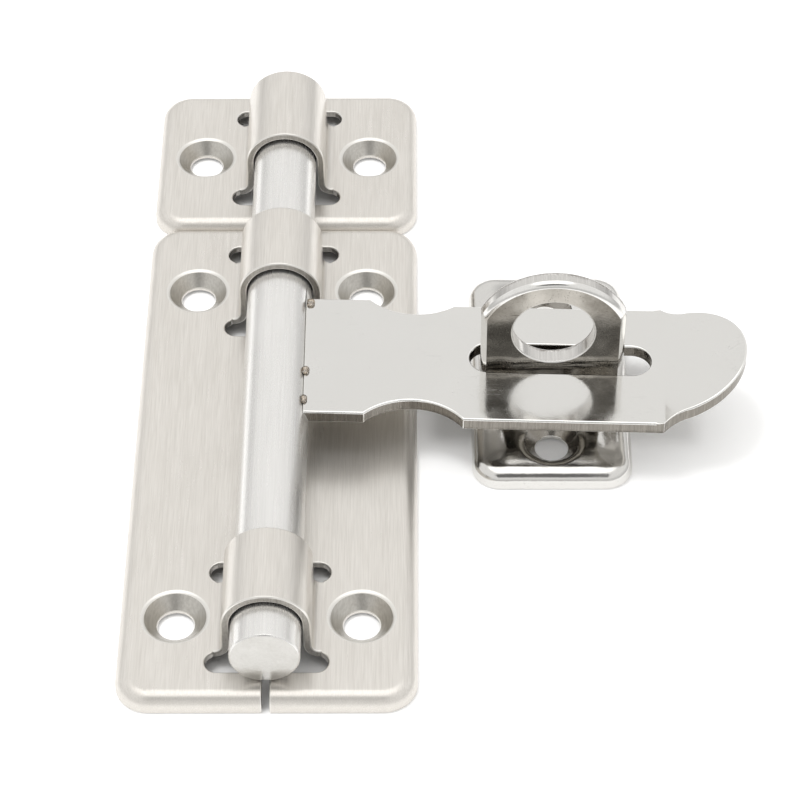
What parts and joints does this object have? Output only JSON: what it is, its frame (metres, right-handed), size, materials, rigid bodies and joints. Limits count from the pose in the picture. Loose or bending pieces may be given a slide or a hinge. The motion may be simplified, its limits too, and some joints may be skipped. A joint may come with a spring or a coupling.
{
  "type": "hasp and staple",
  "caption": "Round sliding bolt in lanced loops on pressed plates, with a slotted hasp welded to it and a staple eye for a padlock.",
  "frame": {"origin": "middle of the main plate, in the mounting plane that all three plates' rims stand on", "axes": "+X along the hasp towards its tip, +Y along the bolt towards the keeper, +Z away from the mounting face"},
  "size_m": [0.0863, 0.1226, 0.0266],
  "materials": {
    "plate_steel": "satin",
    "bolt_steel": "satin",
    "hasp_steel": "gloss",
    "weld": "matte",
    "staple_steel": "gloss"
  },
  "bodies": {
    "mounted": {"main_plate": "plate_steel", "keeper_plate": "plate_steel", "staple_base": "staple_steel", "staple_eye": "staple_steel"},
    "bolt": {"bolt_bar": "bolt_steel"},
    "hasp": {"hasp_plate": "hasp_steel", "hasp_welds": "weld"}
  },
  "joints": [
    {"name": "bolt_slide", "type": "slide", "parent": "mounted", "child": "bolt", "axis": [0, -1, 0], "range_m": [0, 0.012]},
    {"name": "hasp_turn", "type": "hinge", "parent": "bolt", "child": "hasp", "pos_m": [0, 0.0111, 0.00775], "axis": [0, -1, 0], "range_deg": [0, 180]}
  ],
  "couplings": [
    {"joint": "bolt_slide", "follows": "hasp_turn", "m_per_rad": 0.003819}
  ]
}
